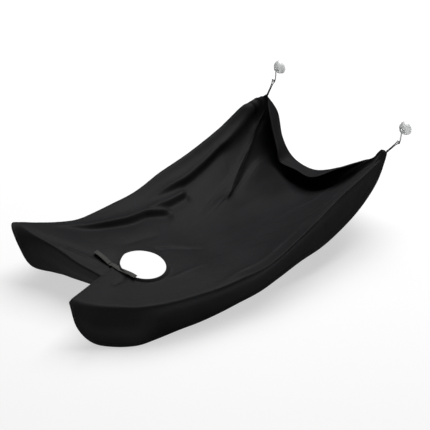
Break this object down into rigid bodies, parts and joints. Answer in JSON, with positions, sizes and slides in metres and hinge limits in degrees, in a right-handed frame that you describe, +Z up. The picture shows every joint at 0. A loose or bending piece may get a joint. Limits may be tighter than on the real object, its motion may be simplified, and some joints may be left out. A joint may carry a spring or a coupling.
{
  "type": "beard trimming apron",
  "caption": "Draped cloth apron with a neck opening and strap closure, hung from a mirror by suction-cup hooks and cord loops.",
  "frame": {"origin": "centre of the neck opening, in its plane", "axes": "+Y from the wearer to the mirror, +X to the right looking along +Y, +Z up"},
  "size_m": [0.6937, 1.192, 0.372],
  "materials": {
    "satin_polyester": "black satin-like woven polyester with a soft sheen",
    "binding_tape": "black folded binding tape, matte",
    "strap_webbing": "charcoal woven strap",
    "hook_pile": "black hook tape",
    "loop_pile": "black loop tape with a fuzzy pile",
    "cord": "black braided cord",
    "clear_hook_plastic": "clear moulded plastic, glossy",
    "clear_cup_vinyl": "clear flexible vinyl, glossy"
  },
  "bodies": {
    "cape": {"cape_sheet": "satin_polyester", "neck_binding": "binding_tape", "closure_strap": "strap_webbing", "loop_tape": "loop_pile"},
    "tab": {"closure_tab": "strap_webbing", "hook_tape": "hook_pile"},
    "left_loop": {"left_cord_loop": "cord"},
    "right_loop": {"right_cord_loop": "cord"},
    "left_hook_body": {"left_hook": "clear_hook_plastic"},
    "right_hook_body": {"right_hook": "clear_hook_plastic"},
    "left_cup": {"left_suction_cup": "clear_cup_vinyl"},
    "right_cup": {"right_suction_cup": "clear_cup_vinyl"}
  },
  "joints": [
    {"name": "tab_opening", "type": "hinge", "parent": "cape", "child": "tab", "pos_m": [-0.0782, -0.0625, 0.00338], "axis": [0, 1, 0], "range_deg": [0, 140]},
    {"name": "left_loop_swing", "type": "hinge", "parent": "cape", "child": "left_loop", "pos_m": [-0.26, 0.829, 0.145], "axis": [1, 0, 0], "range_deg": [-50, 50]},
    {"name": "right_loop_swing", "type": "hinge", "parent": "cape", "child": "right_loop", "pos_m": [0.25, 0.83, 0.143], "axis": [1, 0, 0], "range_deg": [-50, 50]},
    {"name": "left_hook_tilt", "type": "hinge", "parent": "left_loop", "child": "left_hook_body", "pos_m": [-0.25911, 0.8575, 0.18576], "axis": [0.9986, 0, -0.0523], "range_deg": [-40, 25]},
    {"name": "right_hook_tilt", "type": "hinge", "parent": "right_loop", "child": "right_hook_body", "pos_m": [0.27179, 0.8575, 0.17492], "axis": [0.9945, 0, -0.1045], "range_deg": [-40, 25]},
    {"name": "left_cup_swivel", "type": "hinge", "parent": "left_hook_body", "child": "left_cup", "pos_m": [-0.257, 0.8647, 0.226], "axis": [0, 1, 0], "continuous": true},
    {"name": "right_cup_swivel", "type": "hinge", "parent": "right_hook_body", "child": "right_cup", "pos_m": [0.276, 0.8647, 0.215], "axis": [0, 1, 0], "continuous": true}
  ]
}
